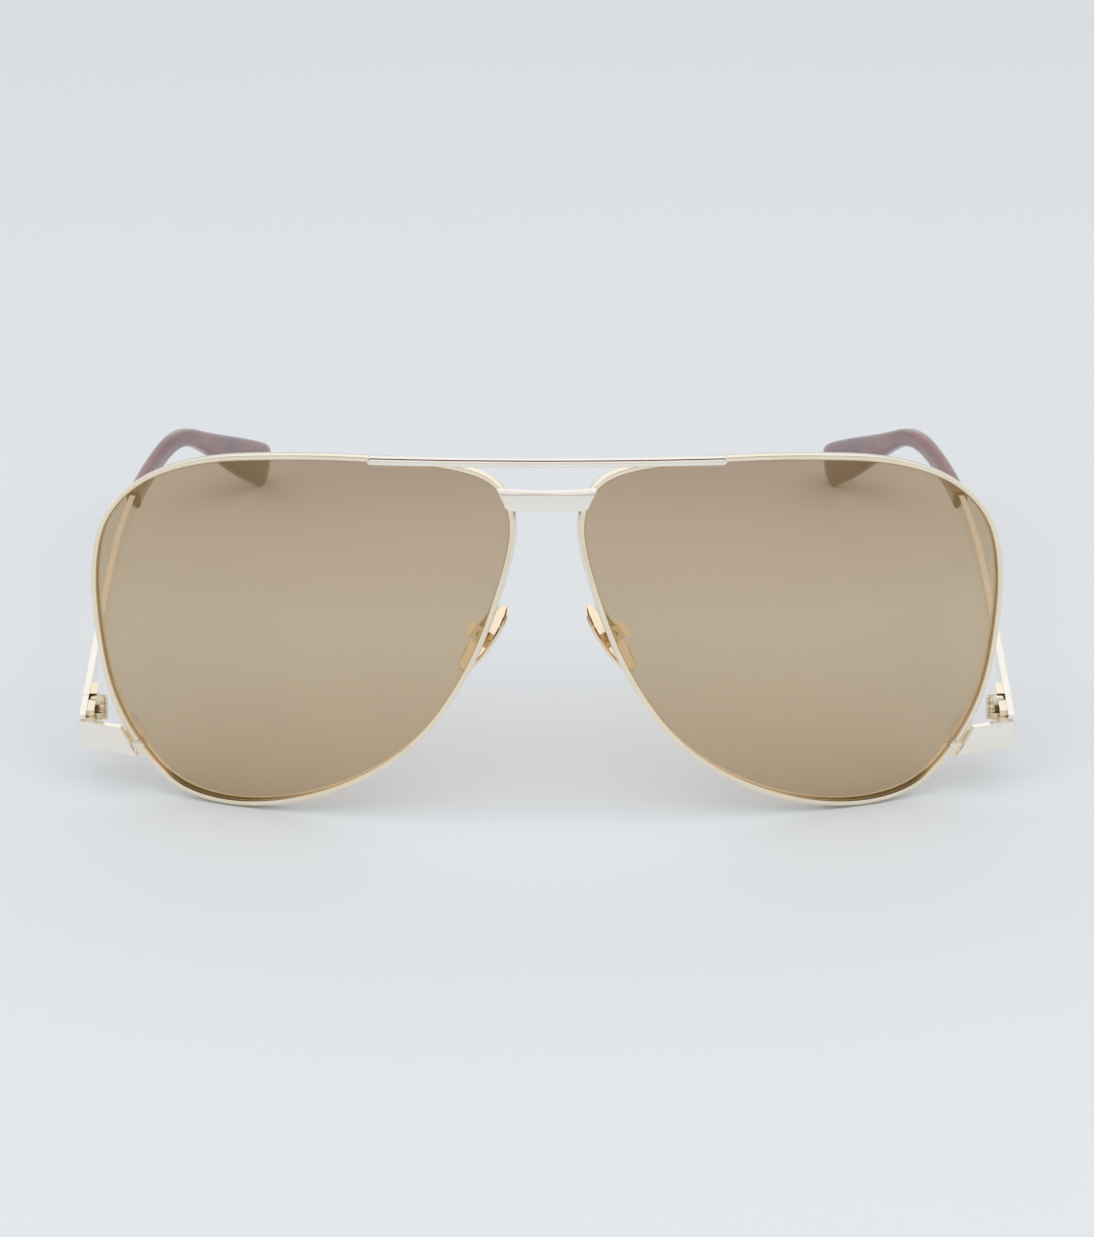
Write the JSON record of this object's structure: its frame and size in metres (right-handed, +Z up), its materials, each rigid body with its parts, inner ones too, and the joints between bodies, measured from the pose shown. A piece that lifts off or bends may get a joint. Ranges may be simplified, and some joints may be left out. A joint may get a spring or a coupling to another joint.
{
  "type": "aviator sunglasses",
  "caption": "Metal aviator sunglasses: wire rims with tinted lenses, brow bar, nose bridge, low-set folding temples with acetate tips, and rocking nose pads",
  "frame": {"origin": "On the table plane, midway between the two temples and midway between the front and the tip ends", "axes": "+Z up, -Y to the front that faces the viewer, +X to the wearer's left, which is the viewer's right"},
  "size_m": [0.144, 0.1506, 0.0573],
  "materials": {
    "rim_gold": "polished pale gold plating",
    "pale_gold": "polished champagne gold plating",
    "pad_gold": "polished yellow gold plating",
    "screw": "gold-washed steel",
    "lens": "brown tint with a light gold flash",
    "acetate": "polished burgundy and brown tortoise acetate"
  },
  "bodies": {
    "front": {"left_rim": "rim_gold", "right_rim": "rim_gold", "left_lens": "lens", "right_lens": "lens", "brow_bar": "pale_gold", "nose_bridge": "pale_gold", "left_end_piece": "pale_gold", "right_end_piece": "pale_gold", "left_front_hinge_leaf": "rim_gold", "right_front_hinge_leaf": "rim_gold", "hinge_screws": "screw", "left_upper_lock_block": "rim_gold", "right_upper_lock_block": "rim_gold", "left_lower_lock_block": "rim_gold", "right_lower_lock_block": "rim_gold", "lock_screws": "screw", "left_pad_arm": "pad_gold", "right_pad_arm": "pad_gold", "left_pad_box": "pad_gold", "right_pad_box": "pad_gold", "pad_screws": "screw"},
    "left_temple": {"left_temple_hinge_leaf": "rim_gold", "left_temple_arm": "pale_gold", "left_temple_tip": "acetate"},
    "right_temple": {"right_temple_hinge_leaf": "rim_gold", "right_temple_arm": "pale_gold", "right_temple_tip": "acetate"},
    "left_pad": {"left_nose_pad": "pad_gold"},
    "right_pad": {"right_nose_pad": "pad_gold"}
  },
  "joints": [
    {"name": "left_temple_fold", "type": "hinge", "parent": "front", "child": "left_temple", "pos_m": [0.0688, -0.05609, 0.0112], "axis": [0, 0.1293, 0.9916], "range_deg": [0, 82]},
    {"name": "right_temple_fold", "type": "hinge", "parent": "front", "child": "right_temple", "pos_m": [-0.0688, -0.05609, 0.0112], "axis": [0, -0.1293, -0.9916], "range_deg": [0, 74]},
    {"name": "left_pad_rock", "type": "hinge", "parent": "front", "child": "left_pad", "pos_m": [0.01059, -0.06523, 0.0272], "axis": [0.342, 0.9318, -0.1215], "range_deg": [-8, 8]},
    {"name": "right_pad_rock", "type": "hinge", "parent": "front", "child": "right_pad", "pos_m": [-0.01059, -0.06523, 0.0272], "axis": [-0.342, 0.9318, -0.1215], "range_deg": [-8, 8]}
  ]
}
